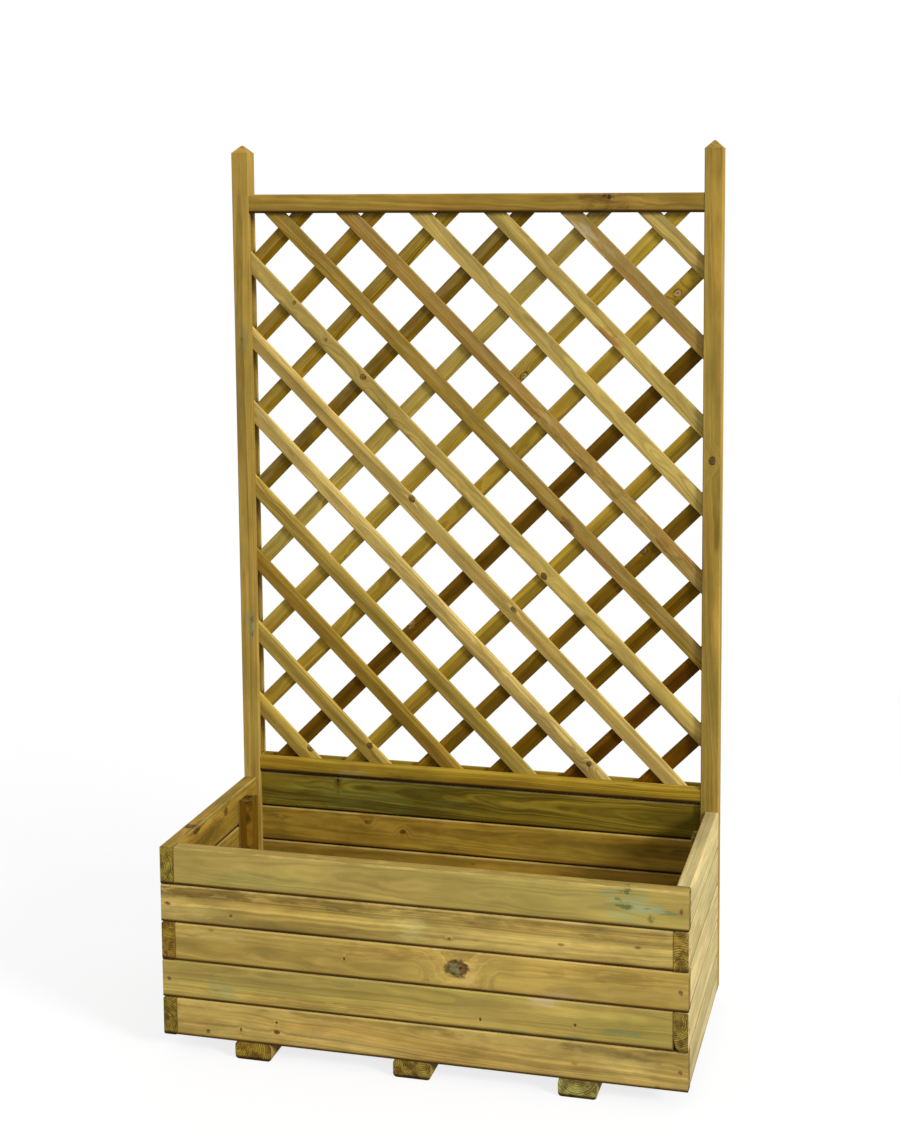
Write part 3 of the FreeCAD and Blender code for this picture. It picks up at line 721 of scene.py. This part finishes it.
studio = {
    "floorSize": 60.0,
    "floorTone": 0.90,           # as the camera sees it
    "floorBounce": 0.30,         # as the planter sees it
    "whiteFrom": (0.9, 2.6),     # metres from the middle over which the floor turns plain white
    "nearMix": 0.80,
    "underBox": ((0.36, 0.42), (0.11, 0.155), 0.02),    # dark floor: half length, half depth, middle
    "worldStrength": 0.85,
    "key": {"place": (9.4, -4.6, 5.1), "aim": (0.0, 0.0, 0.8), "size": 2.8, "watts": 1320.0},
}


def seenShare(tree):
    # 1 for what the camera, a shiny surface or glass sees
    path = put(tree, "ShaderNodeLightPath", {}).outputs
    seen = maths(tree, "MAXIMUM", path["Is Camera Ray"], path["Is Glossy Ray"])
    return maths(tree, "MAXIMUM", seen, path["Is Transmission Ray"])


def paleFloor(values):
    sheet = bmesh.new()
    bmesh.ops.create_grid(sheet, x_segments=1, y_segments=1, size=values["floorSize"] / 2)
    mesh = bpy.data.meshes.new("studio_floor")
    sheet.to_mesh(mesh)
    sheet.free()
    plane = bpy.data.objects.new("studio_floor", mesh)
    bpy.context.scene.collection.objects.link(plane)
    material, tree = freshMaterial("studio_floor")
    point = put(tree, "ShaderNodeTexCoord", {}).outputs["Object"]
    far = fade(tree, vectors(tree, "LENGTH", point), *values["whiteFrom"], values["nearMix"], 1.0)
    split = put(tree, "ShaderNodeSeparateXYZ", {0: point}).outputs
    boxLength, boxDepth, boxMiddle = values["underBox"]
    beside = fade(tree, maths(tree, "ABSOLUTE", split[0]), *boxLength)
    before = fade(tree, maths(tree, "ABSOLUTE", maths(tree, "SUBTRACT", split[1], boxMiddle)), *boxDepth)
    far = maths(tree, "MULTIPLY", far, maths(tree, "MAXIMUM", beside, before))
    tone = values["floorTone"]
    bounce = values["floorBounce"]
    matt = put(tree, "ShaderNodeBsdfDiffuse", {"Color": (tone, tone, tone, 1.0)})
    glow = put(tree, "ShaderNodeEmission", {"Color": (1.0, 1.0, 1.0, 1.0), "Strength": 1.0})
    dull = put(tree, "ShaderNodeBsdfDiffuse", {"Color": (bounce, bounce, bounce, 1.0)})
    seen = put(tree, "ShaderNodeMixShader", {0: far, 1: matt.outputs[0], 2: glow.outputs[0]})
    both = put(tree, "ShaderNodeMixShader", {0: seenShare(tree), 1: dull.outputs[0], 2: seen.outputs[0]})
    toSurface(tree, both)
    mesh.materials.append(material)


def whiteWorld(values):
    world = bpy.data.worlds.new("studio")
    world.use_nodes = True
    tree = world.node_tree
    tree.nodes.clear()
    white = (1.0, 1.0, 1.0, 1.0)
    light = put(tree, "ShaderNodeBackground", {"Color": white, "Strength": values["worldStrength"]})
    sheet = put(tree, "ShaderNodeBackground", {"Color": white, "Strength": 1.0})
    both = put(tree, "ShaderNodeMixShader", {0: seenShare(tree), 1: light.outputs[0], 2: sheet.outputs[0]})
    output = put(tree, "ShaderNodeOutputWorld", {})
    tree.links.new(both.outputs[0], output.inputs["Surface"])
    bpy.context.scene.world = world


def softLamp(name, values):
    lamp = bpy.data.lights.new(name, "AREA")
    lamp.shape = "DISK"
    lamp.size = values["size"]
    lamp.energy = values["watts"]
    thing = bpy.data.objects.new(name, lamp)
    thing.location = values["place"]
    way = Vector(values["aim"]) - Vector(values["place"])
    thing.rotation_euler = way.to_track_quat("-Z", "Y").to_euler()
    bpy.context.scene.collection.objects.link(thing)


paleFloor(studio)
whiteWorld(studio)
softLamp("key", studio["key"])
print("studio set")

cameraView = {
    "place": (0.859, -2.949, 1.519),
    "yaw": 0.2314,
    "pitch": 0.1029,
    "roll": -0.003605,
    "lens": 54.35,
    "shift": (-0.0733, -0.1664),
}


def photoCamera(values):
    yaw, pitch, roll = values["yaw"], values["pitch"], values["roll"]
    ahead = Vector((-math.sin(yaw), math.cos(yaw), 0.0))
    level = Vector((math.cos(yaw), math.sin(yaw), 0.0))
    up = Vector((0.0, 0.0, 1.0))
    forward = ahead * math.cos(pitch) - up * math.sin(pitch)
    upright = ahead * math.sin(pitch) + up * math.cos(pitch)
    right = level * math.cos(roll) + upright * math.sin(roll)
    top = upright * math.cos(roll) - level * math.sin(roll)
    lens = bpy.data.cameras.new("photo_camera")
    lens.sensor_fit = "AUTO"
    lens.sensor_width = 36.0
    lens.lens = values["lens"]
    lens.shift_x, lens.shift_y = values["shift"]
    camera = bpy.data.objects.new("photo_camera", lens)
    turn = Matrix((right, top, -forward)).transposed().to_4x4()
    camera.matrix_world = Matrix.Translation(values["place"]) @ turn
    bpy.context.scene.collection.objects.link(camera)
    bpy.context.scene.camera = camera


photoCamera(cameraView)
bpy.context.scene.view_settings.view_transform = "Standard"
print("camera set")
